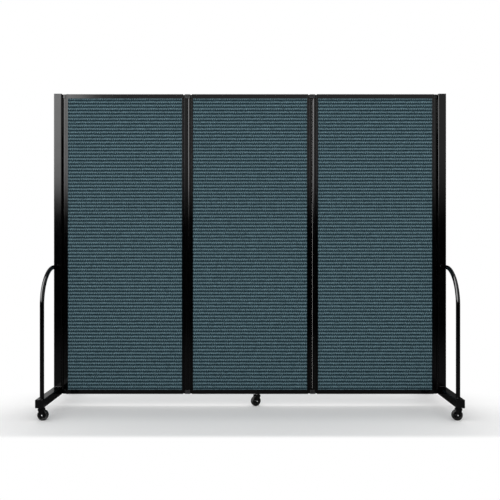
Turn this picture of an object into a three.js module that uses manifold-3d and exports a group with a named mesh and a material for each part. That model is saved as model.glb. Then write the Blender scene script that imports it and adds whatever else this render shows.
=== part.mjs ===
import * as THREE from "three";
import { mergeVertices } from "three/addons/utils/BufferGeometryUtils.js";
import Module from "manifold-3d";

const wasm = await Module();
wasm.setup();

// A three-panel ward privacy screen that rolls on five casters.
// Millimetres. X runs along the open screen, -Y is the front, Z is up from the floor.
// The origin is on the floor, under the middle of the centre panel.

// Overall sizes.
const screenHeight = 1524;
const panelPitch = 611.4;
const footLength = 558.8;
const casterHeight = 57.7;

// Clearances: parts that seat on each other, parts that turn, and the overrun of every cut.
const seatGap = 0.3;
const runGap = 0.75;
const cutOver = 2;
const weldTolerance = 0.001;

// Square steel tube of the posts and feet, and its plastic end caps.
const tubeSide = 38.1;
const tubeWall = 1.6;
const tubeCorner = 3;
const lidThickness = 3;
const lidEdge = 1;
const plugLength = 6;
const plugWall = 2;

// Hinge line: two parallel pivots at each fold and one at each post.
const pivotSpacing = 20;
const barrelRadius = 7.75;
const barrelFlat = 6.5;
const barrelEdge = 1;
const neckWidth = 6;
const pinRadius = 2.8;
const pinLength = 25;
const pinPoint = 1;
const capHeight = 20;
const capStep = 1.2;
const capNose = 6;
const capFlat = 6.3;
const capEdge = 1.3;
const webReach = 7.9;
const webWidth = 4;
const blockLength = 24.6;
const blockDepth = 15;
const blockEdge = 0.8;
const spineDepth = 10;
const slitWidth = 0.3;
const slitEnd = 3;
const slitSlantShare = 0.102;
const postClearance = 11;
const bracketHeight = 19.5;
const bracketReach = 8.2;

// Aluminium panel frame.
const frameDepth = 19;
const frameCorner = 1.5;
const stileCorner = 0.4;
const notchWidth = 3;
const notchHeight = 3;
const channelWidth = 8.5;
const railHeight = 21;
const lipThickness = 1.2;
const grooveDepth = 5;

// Fabric-covered board with horizontal ribs.
const ribCount = 87;
const ribDepth = 0.8;
const ribStartShare = 0.27;
const ribShadowShare = 0.24;

// Push hoops between post and foot.
const hoopRadius = 9.525;
const hoopWall = 1.5;
const hoopBend = 168;
const hoopHeight = 680;
const hoopInset = 35.4;

// Casters.
const casterInset = 19.4;
const centreCasterX = 37;
const wheelRadius = 24;
const wheelWidth = 18;
const trail = 10;
const stemRadius = 5;
const stemLength = 14;
const socketWall = 4;
const raceRadius = 11;
const raceHeight = 3.5;
const crownThickness = 2.5;
const forkSideGap = 1;
const forkThickness = 2;
const forkNose = 10;
const forkTail = 7;
const forkSkirt = 5;
const forkBoss = 7;
const axleRadius = 3;
const axleHead = 5;
const axleHeadHeight = 1.6;
const tyreDepth = 6.7;
const treadRound = 3;
const rimDepth = 2.6;
const wheelWeb = 8;
const hubRadius = 6.5;

// Directions in which the casters trail in the photograph, from +X towards +Y.
const frontTrail = 0;
const rearTrail = -Math.PI / 2;
const centreTrail = (7 * Math.PI) / 6;

// Faces per turn or per bend.
const barrelSides = 16;
const raceSides = 12;
const pinSides = 10;
const wheelSides = 18;
const hoopSides = 12;
const hoopBoreSides = 6;
const bendSteps = 8;
const cornerSteps = 2;

// Places that several pieces share.
const quarter = Math.PI / 2;
const halfPitch = panelPitch / 2;
const pivotOffset = pivotSpacing / 2;
const channelOffset = barrelRadius + runGap;
const frameSide = pivotOffset + channelOffset + channelWidth;
const panelBottom = casterHeight;
const panelTop = screenHeight;
const panelHeight = panelTop - panelBottom;
const barrelEnd = capHeight + runGap;
const boreRadius = pinRadius + seatGap;
const endPivotX = panelPitch + halfPitch - pivotOffset;
const postX = endPivotX + postClearance + tubeSide / 2;
const footTop = casterHeight + tubeSide;
const hoopReach = footLength / 2 - hoopInset;
const casterReach = footLength / 2 - casterInset;
const grooveWidth = frameDepth - 2 * lipThickness;
const boardThickness = grooveWidth - 2 * seatGap;
const stemHole = stemRadius + seatGap;

// Finishes.
const black = { color: 0x08080a, roughness: 0.22, metalness: 0.4 };
const plastic = { color: 0x0d0d0f, roughness: 0.45, metalness: 0 };
const rubber = { color: 0x0a0a0b, roughness: 0.7, metalness: 0 };
const steel = { color: 0xb9bcc0, roughness: 0.3, metalness: 1 };
const fabric = { color: 0x3b4e55, roughness: 0.95, metalness: 0 };

function solidOf(geometry) {
  const bare = geometry.clone();
  bare.deleteAttribute("normal");
  bare.deleteAttribute("uv");
  const merged = mergeVertices(bare, weldTolerance);
  const mesh = new wasm.Mesh({
    numProp: 3,
    vertProperties: merged.getAttribute("position").array,
    triVerts: new Uint32Array(merged.index.array),
  });
  return new wasm.Manifold(mesh);
}

function geometryOf(solid) {
  const mesh = solid.getMesh();
  const geometry = new THREE.BufferGeometry();
  geometry.setAttribute("position", new THREE.BufferAttribute(new Float32Array(mesh.vertProperties), 3));
  geometry.setIndex(new THREE.BufferAttribute(new Uint32Array(mesh.triVerts), 1));
  geometry.computeVertexNormals();
  return geometry;
}

// One solid from several geometries: the first list joined, the second cut away.
function join(added, removed = []) {
  let solid = solidOf(added[0]);
  for (const geometry of added.slice(1)) {
    solid = solid.add(solidOf(geometry));
  }
  for (const geometry of removed) {
    solid = solid.subtract(solidOf(geometry));
  }
  return geometryOf(solid);
}

function arcPoints(x, y, radius, from, to, steps) {
  const points = [];
  for (let i = 0; i <= steps; i += 1) {
    const angle = from + ((to - from) * i) / steps;
    points.push(new THREE.Vector2(x + radius * Math.cos(angle), y + radius * Math.sin(angle)));
  }
  return points;
}

function circlePoints(radius, sides) {
  return arcPoints(0, 0, radius, 0, 2 * Math.PI, sides).slice(0, sides);
}

// A rectangle centred on the origin with round corners, anticlockwise.
function roundedPoints(width, height, radius) {
  const x = width / 2 - radius;
  const y = height / 2 - radius;
  return [
    ...arcPoints(x, y, radius, 0, quarter, cornerSteps),
    ...arcPoints(-x, y, radius, quarter, 2 * quarter, cornerSteps),
    ...arcPoints(-x, -y, radius, 2 * quarter, 3 * quarter, cornerSteps),
    ...arcPoints(x, -y, radius, 3 * quarter, 4 * quarter, cornerSteps),
  ];
}

// A square centred on the origin with flats across its corners, anticlockwise.
function squarePoints(side, flat) {
  const far = side / 2;
  const near = far - flat;
  const corners = [[far, near], [near, far], [-near, far], [-far, near]];
  const points = corners.map(([x, y]) => new THREE.Vector2(x, y));
  return [...points, ...points.map((p) => p.clone().negate())];
}

// A straight bar of the given outline, standing on z = 0.
function bar(points, length, hole = null) {
  const shape = new THREE.Shape(points);
  if (hole) {
    shape.holes.push(new THREE.Path(hole));
  }
  return new THREE.ExtrudeGeometry(shape, { depth: length, bevelEnabled: false, steps: 1 });
}

function cylinder(radius, from, to, sides) {
  return bar(circlePoints(radius, sides), to - from).translate(0, 0, from);
}

// A solid through a list of rings, each with the same number of points and its own height.
function loft(rings) {
  const count = rings[0].points.length;
  const positions = rings.flatMap((ring) => ring.points.flatMap((p) => [p.x, p.y, ring.z]));
  const index = [];
  for (let r = 0; r < rings.length - 1; r += 1) {
    for (let i = 0; i < count; i += 1) {
      const a = r * count + i;
      const b = r * count + ((i + 1) % count);
      index.push(a, b, b + count, a, b + count, a + count);
    }
  }
  const last = (rings.length - 1) * count;
  for (const [a, b, c] of THREE.ShapeUtils.triangulateShape(rings[0].points, [])) {
    index.push(a, c, b, last + a, last + b, last + c);
  }
  const geometry = new THREE.BufferGeometry();
  geometry.setAttribute("position", new THREE.Float32BufferAttribute(positions, 3));
  geometry.setIndex(index);
  return geometry;
}

// A rectangle from one x to another, centred across y.
function stripPoints(from, to, width) {
  const corners = [[from, -width / 2], [to, -width / 2], [to, width / 2], [from, width / 2]];
  return corners.map(([x, y]) => new THREE.Vector2(x, y));
}

// A pin that hangs from z = 0, with a pointed lower end.
function hingePin(x) {
  const rings = [
    { z: -pinLength, points: circlePoints(pinRadius - pinPoint, pinSides) },
    { z: pinPoint - pinLength, points: circlePoints(pinRadius, pinSides) },
    { z: cutOver, points: circlePoints(pinRadius, pinSides) },
  ];
  return loft(rings).translate(x, 0, 0);
}

// Stile: a grooved channel and, short of both ends, the hinge barrel on its neck.
// The pivot is on the origin's axis and the panel lies towards +X. The barrel is round
// towards the pivot's far side and flat in front and behind. Beside a fold, the channel's
// outer corners are notched at both ends.
function makeStile(isNotched) {
  const inner = channelOffset + channelWidth;
  const half = frameDepth / 2;
  const grooveHalf = grooveWidth / 2;
  const edge = channelOffset + stileCorner;
  const channel = [
    new THREE.Vector2(inner, half),
    ...arcPoints(edge, half - stileCorner, stileCorner, quarter, 2 * quarter, 1),
    ...arcPoints(edge, stileCorner - half, stileCorner, 2 * quarter, 3 * quarter, 1),
    new THREE.Vector2(inner, -half),
    new THREE.Vector2(inner, -grooveHalf),
    new THREE.Vector2(inner - grooveDepth, -grooveHalf),
    new THREE.Vector2(inner - grooveDepth, grooveHalf),
    new THREE.Vector2(inner, grooveHalf),
  ];
  const webMiddle = channelOffset + (channelWidth - grooveDepth) / 2;
  const squared = barrelRadius - barrelEdge;
  const flat = barrelFlat - barrelEdge;
  const flatAngle = Math.PI - Math.asin(barrelFlat / barrelRadius);
  const barrel = [
    new THREE.Vector2(webMiddle, neckWidth / 2),
    new THREE.Vector2(barrelRadius, neckWidth / 2),
    ...arcPoints(squared, flat, barrelEdge, 0, quarter, cornerSteps),
    ...arcPoints(0, 0, barrelRadius, flatAngle, 2 * Math.PI - flatAngle, barrelSides / 2),
    ...arcPoints(squared, -flat, barrelEdge, 3 * quarter, 4 * quarter, cornerSteps),
    new THREE.Vector2(barrelRadius, -neckWidth / 2),
    new THREE.Vector2(webMiddle, -neckWidth / 2),
  ];
  const barrelLength = panelHeight - 2 * barrelEnd;
  const boreDepth = pinLength - runGap + cutOver;
  const pieces = [bar(channel, panelHeight), bar(barrel, barrelLength).translate(0, 0, barrelEnd)];
  const cuts = [
    cylinder(boreRadius, barrelEnd - cutOver, barrelEnd + boreDepth, pinSides),
    cylinder(boreRadius, panelHeight - barrelEnd - boreDepth, panelHeight - barrelEnd + cutOver, pinSides),
  ];
  if (isNotched) {
    const corner = stripPoints(channelOffset - cutOver, channelOffset + notchWidth, frameDepth + cutOver);
    cuts.push(bar(corner, notchHeight + cutOver).translate(0, 0, -cutOver));
    cuts.push(bar(corner, notchHeight + cutOver).translate(0, 0, panelHeight - notchHeight));
  }
  return join(pieces, cuts);
}

// Rail: grooved on its upper side, with a tongue at each end that fills the stile's groove.
function makeRail(hasStemHole) {
  const half = frameDepth / 2;
  const grooveHalf = grooveWidth / 2;
  const low = railHeight - grooveDepth;
  const length = panelPitch - 2 * frameSide - 2 * seatGap;
  const tongue = length + 2 * grooveDepth;
  const outline = [
    new THREE.Vector2(half, railHeight),
    new THREE.Vector2(grooveHalf, railHeight),
    new THREE.Vector2(grooveHalf, low),
    new THREE.Vector2(-grooveHalf, low),
    new THREE.Vector2(-grooveHalf, railHeight),
    new THREE.Vector2(-half, railHeight),
    ...arcPoints(frameCorner - half, frameCorner, frameCorner, 2 * quarter, 3 * quarter, cornerSteps),
    ...arcPoints(half - frameCorner, frameCorner, frameCorner, 3 * quarter, 4 * quarter, cornerSteps),
  ];
  const body = bar(outline, length)
    .translate(0, 0, -length / 2)
    .rotateX(quarter)
    .rotateZ(quarter);
  const key = new THREE.BoxGeometry(tongue, boardThickness, low).translate(0, 0, low / 2);
  const hole = cylinder(stemHole, -cutOver, stemLength + runGap, pinSides).translate(centreCasterX, 0, 0);
  return join([body, key], hasStemHole ? [hole] : []);
}

// Board: a thin dark groove and a broad band in each rib, alike on both faces.
function makeBoard() {
  const visible = panelHeight - 2 * railHeight;
  const pitch = visible / ribCount;
  const overlap = grooveDepth - seatGap;
  const crest = boardThickness / 2;
  const face = [new THREE.Vector2(crest, -overlap)];
  for (let i = 1; i <= ribCount; i += 1) {
    const groove = (i - ribStartShare) * pitch;
    face.push(new THREE.Vector2(crest - ribDepth, groove));
    face.push(new THREE.Vector2(crest, groove + ribShadowShare * pitch));
  }
  face.push(new THREE.Vector2(crest, visible + overlap));
  const back = face.map((p) => new THREE.Vector2(-p.x, p.y)).reverse();
  const width = panelPitch - 2 * frameSide + 2 * overlap;
  return bar([...face, ...back], width)
    .translate(0, 0, -width / 2)
    .rotateX(quarter)
    .rotateZ(quarter);
}

// Spine: fills the fold between two barrels, hollowed to follow both. A narrow slanting
// slit runs through it, short of both ends.
function makeSpine() {
  const reach = Math.asin(spineDepth / 2 / channelOffset);
  const steps = barrelSides / 2;
  const outline = [
    ...arcPoints(pivotOffset, 0, channelOffset, 2 * quarter + reach, 2 * quarter - reach, steps),
    ...arcPoints(-pivotOffset, 0, channelOffset, reach, -reach, steps),
  ];
  const end = capHeight + seatGap;
  const sides = [[-1, -1], [1, -1], [1, 1], [-1, 1]];
  const slit = sides.map(([x, y]) => new THREE.Vector2(
    (x * slitWidth) / 2 + y * spineDepth * slitSlantShare,
    y * spineDepth,
  ));
  const slitLength = panelHeight - 2 * (end + slitEnd);
  const body = bar(outline, panelHeight - 2 * end).translate(0, 0, end);
  return join([body], [bar(slit, slitLength).translate(0, 0, end + slitEnd)]);
}

// Hinge cap: rests on z = 0 over both pivots, with a block that stands up in its middle
// and two pins below. Its ends keep within the circle that the channels sweep.
function makeHingeCap() {
  const length = 2 * (pivotOffset + capNose);
  const top = roundedPoints(blockLength - blockEdge, blockDepth - blockEdge, blockEdge / 2);
  const block = loft([
    { z: 0, points: roundedPoints(blockLength, blockDepth, blockEdge) },
    { z: capHeight - blockEdge / 2, points: roundedPoints(blockLength, blockDepth, blockEdge) },
    { z: capHeight, points: top },
  ]);
  return join([
    block,
    bar(roundedPoints(length, 2 * capFlat, capEdge), capHeight - capStep),
    bar(stripPoints(-pivotOffset - webReach, pivotOffset + webReach, webWidth), capHeight - 2 * capStep),
    hingePin(pivotOffset),
    hingePin(-pivotOffset),
  ]);
}

// Post bracket: one pivot on z = 0, with a neck that reaches to the post towards +X.
function makeBracket() {
  const body = bar(roundedPoints(capNose + bracketReach, 2 * capFlat, capEdge), bracketHeight);
  return join([
    body.translate((bracketReach - capNose) / 2, 0, 0),
    bar(stripPoints(-webReach, 0, webWidth), bracketHeight - capStep),
    bar(stripPoints(0, postClearance - seatGap, neckWidth), bracketHeight - capStep),
    hingePin(0),
  ]);
}

function tubeOutline() {
  return roundedPoints(tubeSide, tubeSide, tubeCorner);
}

function tubeBore() {
  const inner = tubeSide - 2 * tubeWall;
  return roundedPoints(inner, inner, tubeCorner - tubeWall);
}

function makePost() {
  const from = footTop + seatGap;
  const to = screenHeight - lidThickness - seatGap;
  return bar(tubeOutline(), to - from, tubeBore()).translate(0, 0, from);
}

// Tube cap: the lid's upper face is on z = 0 and its plug hangs below.
function makeTubeCap() {
  const top = tubeSide - 2 * lidEdge;
  const plugSide = tubeSide - 2 * tubeWall - 2 * seatGap;
  const hollowSide = plugSide - 2 * plugWall;
  const round = tubeCorner - tubeWall;
  const lid = loft([
    { z: -lidThickness, points: tubeOutline() },
    { z: -lidEdge, points: tubeOutline() },
    { z: 0, points: roundedPoints(top, top, tubeCorner - lidEdge) },
  ]);
  const plugDepth = plugLength + lidThickness;
  const plug = bar(squarePoints(plugSide, round), plugDepth - lidEdge, squarePoints(hollowSide, round));
  return join([lid, plug.translate(0, 0, -plugDepth)]);
}

// Foot: the tube along Y, with a socket for a caster's stem near each end.
function makeFoot() {
  const length = footLength - 2 * lidThickness - 2 * seatGap;
  const tube = bar(tubeOutline(), length, tubeBore())
    .translate(0, 0, -length / 2)
    .rotateX(quarter)
    .translate(0, 0, tubeSide / 2);
  const sockets = [];
  const holes = [];
  for (const y of [-casterReach, casterReach]) {
    const socketTop = stemLength + runGap;
    sockets.push(cylinder(stemHole + socketWall, tubeWall / 2, socketTop, pinSides).translate(0, y, 0));
    holes.push(cylinder(stemHole, -cutOver, socketTop + cutOver, pinSides).translate(0, y, 0));
  }
  return join([tube, ...sockets], holes);
}

// The hoop's centreline: out from the post, round the bend and down to the foot.
class HoopCurve extends THREE.Curve {
  getPoint(t, target = new THREE.Vector3()) {
    const station = t * (bendSteps + 2);
    const bendY = hoopBend - hoopReach;
    const bendZ = hoopHeight - hoopBend;
    if (station <= 1) {
      return target.set(0, THREE.MathUtils.lerp(-tubeSide / 2 - seatGap, bendY, station), hoopHeight);
    }
    if (station >= bendSteps + 1) {
      const share = station - bendSteps - 1;
      return target.set(0, -hoopReach, THREE.MathUtils.lerp(bendZ, footTop + seatGap, share));
    }
    const angle = (quarter * (station - 1)) / bendSteps;
    return target.set(0, bendY - hoopBend * Math.sin(angle), bendZ + hoopBend * Math.cos(angle));
  }

  getUtoTmapping(u) {
    return u;
  }
}

// Hoop: bent round tube in the plane of the post and foot.
function makeHoop() {
  const section = new THREE.Shape(circlePoints(hoopRadius, hoopSides));
  section.holes.push(new THREE.Path(circlePoints(hoopRadius - hoopWall, hoopBoreSides)));
  return new THREE.ExtrudeGeometry(section, { steps: bendSteps + 2, extrudePath: new HoopCurve() });
}

// One leg of the fork, seen from the side, thickness along Y from y = 0.
function forkLeg(y) {
  const top = casterHeight - seatGap - raceHeight;
  const skirt = top - crownThickness - forkSkirt;
  const outline = [
    new THREE.Vector2(trail + forkTail, top),
    new THREE.Vector2(-forkNose, top),
    new THREE.Vector2(-forkNose, skirt),
    ...arcPoints(trail, wheelRadius, forkBoss, 5 * quarter / 2, 7 * quarter / 2, barrelSides / 4),
    new THREE.Vector2(trail + forkTail, skirt),
  ];
  return bar(outline, forkThickness).rotateX(quarter).translate(0, y, 0);
}

// Fork: crown, two legs, bearing race and stem, with the stem's axis on the origin's.
function makeFork() {
  const top = casterHeight - seatGap - raceHeight;
  const inside = wheelWidth / 2 + forkSideGap;
  const width = 2 * (inside + forkThickness);
  const length = forkNose + trail + forkTail;
  const crown = bar(roundedPoints(length, width, forkBoss), crownThickness);
  crown.translate(length / 2 - forkNose, 0, top - crownThickness);
  const legs = [forkLeg(-inside), forkLeg(inside + forkThickness)];
  const race = cylinder(raceRadius, top - crownThickness / 2, casterHeight - seatGap, raceSides);
  const stem = cylinder(stemRadius, top, casterHeight + stemLength, pinSides);
  const bore = cylinder(axleRadius + seatGap, -width, width, pinSides)
    .rotateX(quarter)
    .translate(trail, 0, wheelRadius);
  return join([crown, ...legs, race, stem], [bore]);
}

function lathe(profile, sides) {
  const points = profile.map(([radius, y]) => new THREE.Vector2(radius, y));
  return new THREE.LatheGeometry(points, sides);
}

// Tyre: rounded at the tread, seated round the rim.
function makeTyre() {
  const seat = wheelRadius - tyreDepth;
  const half = wheelWidth / 2;
  return lathe(
    [
      [seat, -half + treadRound / 2],
      [wheelRadius - treadRound, -half],
      [wheelRadius, -half + treadRound],
      [wheelRadius, half - treadRound],
      [wheelRadius - treadRound, half],
      [seat, half - treadRound / 2],
      [seat, -half + treadRound / 2],
    ],
    wheelSides,
  );
}

// Wheel centre: rim, web and hub, with the axle's bore.
function makeWheelCentre() {
  const rim = wheelRadius - tyreDepth - seatGap;
  const half = wheelWidth / 2;
  const rimHalf = half - treadRound / 2;
  const bore = axleRadius + seatGap;
  return lathe(
    [
      [bore, -half],
      [hubRadius, -half],
      [hubRadius, -wheelWeb / 2],
      [rim - rimDepth, -wheelWeb / 2],
      [rim, -rimHalf],
      [rim, rimHalf],
      [rim - rimDepth, wheelWeb / 2],
      [hubRadius, wheelWeb / 2],
      [hubRadius, half],
      [bore, half],
      [bore, -half],
    ],
    wheelSides,
  );
}

// Axle: a rivet with a domed head outside each leg.
function makeAxle() {
  const inner = wheelWidth / 2 + forkSideGap + forkThickness + seatGap;
  const outer = inner + axleHeadHeight;
  return lathe(
    [
      [0, -outer],
      [axleHead / 2, -outer],
      [axleHead, -inner],
      [axleRadius, -inner],
      [axleRadius, inner],
      [axleHead, inner],
      [axleHead / 2, outer],
      [0, outer],
    ],
    pinSides,
  );
}

function add(group, name, geometry, finish) {
  const mesh = new THREE.Mesh(geometry, new THREE.MeshStandardMaterial(finish));
  mesh.name = name;
  group.add(mesh);
  return mesh;
}

const shapes = {
  stile: makeStile(false),
  foldStile: makeStile(true),
  rail: makeRail(false),
  casterRail: makeRail(true),
  board: makeBoard(),
  spine: makeSpine(),
  hingeCap: makeHingeCap(),
  bracket: makeBracket(),
  post: makePost(),
  tubeCap: makeTubeCap(),
  foot: makeFoot(),
  hoop: makeHoop(),
  fork: makeFork(),
  tyre: makeTyre(),
  wheelCentre: makeWheelCentre(),
  axle: makeAxle(),
};

function addPanel(root, side, x) {
  const panel = new THREE.Group();
  panel.position.set(x, 0, panelBottom);
  root.add(panel);
  const stileX = halfPitch - pivotOffset;
  const leftShape = side === "left" ? shapes.stile : shapes.foldStile;
  const rightShape = side === "right" ? shapes.stile : shapes.foldStile;
  add(panel, side + "_panel_left_stile", leftShape, black).position.x = -stileX;
  const right = add(panel, side + "_panel_right_stile", rightShape, black);
  right.position.x = stileX;
  right.rotation.z = Math.PI;
  const lower = side === "centre" ? shapes.casterRail : shapes.rail;
  add(panel, side + "_panel_bottom_rail", lower, black);
  const upper = add(panel, side + "_panel_top_rail", shapes.rail, black);
  upper.position.z = panelHeight;
  upper.rotation.x = Math.PI;
  add(panel, side + "_panel_fabric_board", shapes.board, fabric).position.z = railHeight;
}

function addFold(root, side, x) {
  const fold = new THREE.Group();
  fold.position.set(x, 0, panelBottom);
  root.add(fold);
  add(fold, side + "_hinge_spine", shapes.spine, black);
  add(fold, side + "_hinge_top_cap", shapes.hingeCap, plastic).position.z = panelHeight - capHeight;
  const lower = add(fold, side + "_hinge_bottom_cap", shapes.hingeCap, plastic);
  lower.position.z = capHeight;
  lower.rotation.x = Math.PI;
}

// A caster under the given point, trailing in the given direction.
function addCaster(root, name, x, y, direction) {
  const caster = new THREE.Group();
  caster.position.set(x, y, 0);
  caster.rotation.z = direction;
  root.add(caster);
  add(caster, name + "_caster_fork", shapes.fork, black);
  const wheel = new THREE.Group();
  wheel.position.set(trail, 0, wheelRadius);
  caster.add(wheel);
  add(wheel, name + "_caster_axle", shapes.axle, steel);
  add(wheel, name + "_caster_wheel", shapes.wheelCentre, plastic);
  add(wheel, name + "_caster_tyre", shapes.tyre, rubber);
}

// An end frame is drawn for the right side, and turned half a circle for the left.
function addEndFrame(root, side, turn) {
  const frame = new THREE.Group();
  frame.rotation.z = turn;
  root.add(frame);
  const faces = turn === 0 ? ["front", "rear"] : ["rear", "front"];
  add(frame, side + "_post", shapes.post, black).position.x = postX;
  add(frame, side + "_post_cap", shapes.tubeCap, plastic).position.set(postX, 0, screenHeight);
  add(frame, side + "_foot", shapes.foot, black).position.set(postX, 0, casterHeight);
  faces.forEach((face, i) => {
    const toRear = i * Math.PI;
    const hoop = add(frame, side + "_" + face + "_hoop", shapes.hoop, black);
    hoop.position.x = postX;
    hoop.rotation.z = toRear;
    const tip = new THREE.Group();
    tip.position.set(postX, 0, casterHeight + tubeSide / 2);
    tip.rotation.z = toRear;
    frame.add(tip);
    const cap = add(tip, side + "_" + face + "_foot_cap", shapes.tubeCap, plastic);
    cap.position.y = -footLength / 2;
    cap.rotation.x = quarter;
  });
  const upper = add(frame, side + "_post_top_bracket", shapes.bracket, black);
  upper.position.set(endPivotX, 0, panelTop - capHeight);
  const lower = add(frame, side + "_post_bottom_bracket", shapes.bracket, black);
  lower.position.set(endPivotX, 0, panelBottom + capHeight);
  lower.rotation.x = Math.PI;
}

const screen = new THREE.Group();
["left", "centre", "right"].forEach((side, i) => addPanel(screen, side, (i - 1) * panelPitch));
addFold(screen, "left", -halfPitch);
addFold(screen, "right", halfPitch);
addEndFrame(screen, "left", Math.PI);
addEndFrame(screen, "right", 0);
addCaster(screen, "left_front", -postX, -casterReach, frontTrail);
addCaster(screen, "left_rear", -postX, casterReach, rearTrail);
addCaster(screen, "right_front", postX, -casterReach, Math.PI - frontTrail);
addCaster(screen, "right_rear", postX, casterReach, rearTrail);
addCaster(screen, "centre", centreCasterX, 0, centreTrail);

export default screen;
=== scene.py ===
import math

import bmesh
import bpy
from mathutils import Matrix, Vector, noise


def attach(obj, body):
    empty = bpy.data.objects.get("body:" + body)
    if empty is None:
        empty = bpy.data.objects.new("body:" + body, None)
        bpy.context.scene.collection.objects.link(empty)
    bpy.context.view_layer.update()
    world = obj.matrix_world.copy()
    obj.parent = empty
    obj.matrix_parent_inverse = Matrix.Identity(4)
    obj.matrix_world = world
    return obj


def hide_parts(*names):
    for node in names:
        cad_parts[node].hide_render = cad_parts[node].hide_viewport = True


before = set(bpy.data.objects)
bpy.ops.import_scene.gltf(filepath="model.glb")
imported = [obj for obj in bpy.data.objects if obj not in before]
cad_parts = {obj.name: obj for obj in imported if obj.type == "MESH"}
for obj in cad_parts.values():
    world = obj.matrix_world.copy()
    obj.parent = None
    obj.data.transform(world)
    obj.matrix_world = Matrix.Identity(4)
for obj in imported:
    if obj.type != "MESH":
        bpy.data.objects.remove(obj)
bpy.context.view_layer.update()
print("frame loaded with", len(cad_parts), "nodes")

# sizes that several pieces share, in metres
screen = {
    "height": 1.524,
    "panelPitch": 0.6114,
    "panelBottom": 0.0577,
    "pivotOffset": 0.010,      # half the distance between a fold's two pins
    "channelOffset": 0.0085,   # pivot to the channel's back
    "channelWidth": 0.0085,
    "frameDepth": 0.019,
    "grooveWidth": 0.0166,
    "grooveDepth": 0.005,
    "railHeight": 0.021,
    "capHeight": 0.020,
    "tubeSide": 0.0381,
    "tubeCorner": 0.003,
    "postGap": 0.011,          # end pivot to the post's face
    "seatGap": 0.0003,
}
panelPitch, panelBottom = screen["panelPitch"], screen["panelBottom"]
pivotOffset, grooveDepth = screen["pivotOffset"], screen["grooveDepth"]
capHeight, tubeSide, seatGap = screen["capHeight"], screen["tubeSide"], screen["seatGap"]
panelHeight = screen["height"] - panelBottom
frameSide = pivotOffset + screen["channelOffset"] + screen["channelWidth"]
endPivotX = 1.5 * panelPitch - pivotOffset
postX = endPivotX + screen["postGap"] + tubeSide / 2
footTop = panelBottom + tubeSide


def addNode(tree, kind, **settings):
    node = tree.nodes.new("ShaderNode" + kind)
    for key, value in settings.items():
        setattr(node, key, value)
    return node


def feed(tree, socket, value):
    if isinstance(value, bpy.types.NodeSocket):
        tree.links.new(value, socket)
    else:
        socket.default_value = value


def feedAll(tree, node, values):
    for key, value in values.items():
        feed(tree, node.inputs[key], value)


def startTree(owner):
    owner.use_nodes = True
    owner.node_tree.nodes.clear()
    return owner.node_tree


def startMaterial(name):
    material = bpy.data.materials.new(name)
    tree = startTree(material)
    output = addNode(tree, "OutputMaterial")
    shader = addNode(tree, "BsdfPrincipled")
    feed(tree, output.inputs["Surface"], shader.outputs["BSDF"])
    return material, tree, shader


def mathNode(tree, operation, a, b=0.0, c=0.0, clamp=False):
    node = addNode(tree, "Math", operation=operation, use_clamp=clamp)
    for socket, value in zip(node.inputs, (a, b, c)):
        feed(tree, socket, value)
    return node.outputs["Value"]


def product(tree, first, *others):
    for other in others:
        first = mathNode(tree, "MULTIPLY", first, other)
    return first


def rangeNode(tree, value, fromMin, fromMax, toMin, toMax, smooth=False):
    node = addNode(tree, "MapRange", interpolation_type="SMOOTHSTEP" if smooth else "LINEAR")
    feedAll(tree, node, {"Value": value, "From Min": fromMin, "From Max": fromMax,
                         "To Min": toMin, "To Max": toMax})
    return node.outputs["Result"]


def fadeIn(tree, value, span):
    return rangeNode(tree, value, *span, 0.0, 1.0, smooth=True)


def fadeOut(tree, value, span):
    return rangeNode(tree, value, *span, 1.0, 0.0, smooth=True)


def mixColour(tree, share, first, second):
    node = addNode(tree, "Mix", data_type="RGBA")
    feed(tree, node.inputs["Factor"], share)
    feed(tree, node.inputs["A"], (*first, 1) if isinstance(first, tuple) else first)
    feed(tree, node.inputs["B"], (*second, 1) if isinstance(second, tuple) else second)
    return node.outputs["Result"]


def mixShader(tree, share, first, second):
    node = addNode(tree, "MixShader")
    for socket, value in zip(node.inputs, (share, first, second)):
        feed(tree, socket, value)
    return node.outputs["Shader"]


def noiseNode(tree, place, scale, detail=2.0):
    node = addNode(tree, "TexNoise")
    feedAll(tree, node, {"Vector": place, "Scale": scale, "Detail": detail})
    return node.outputs["Fac"]


def bumpNode(tree, height, strength, distance, normal=None):
    node = addNode(tree, "Bump")
    feedAll(tree, node, {"Height": height, "Strength": strength, "Distance": distance})
    if normal is not None:
        feed(tree, node.inputs["Normal"], normal)
    return node.outputs["Normal"]


def placeNode(tree):
    return addNode(tree, "TexCoord").outputs["Object"]


def axesNode(tree, vector):
    node = addNode(tree, "SeparateXYZ")
    feed(tree, node.inputs["Vector"], vector)
    return node.outputs


# what all the finishes share
surfaceLook = {
    "noiseSpan": (0.3, 0.7),     # the part of a noise's values that counts
    "grainDetail": 1.0,
    "waveDetail": 3.0,
    "upperSide": (0.2, 1.0),     # dust lies where a face looks up by this much
    "upperShare": (0.15, 1.0),
    "dustPatch": (0.35, 0.75),
    "specular": 0.5,
    "specularInGloss": 0.006,    # black gloss mirrored in black gloss stays dark, even at a flat angle
}


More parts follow.
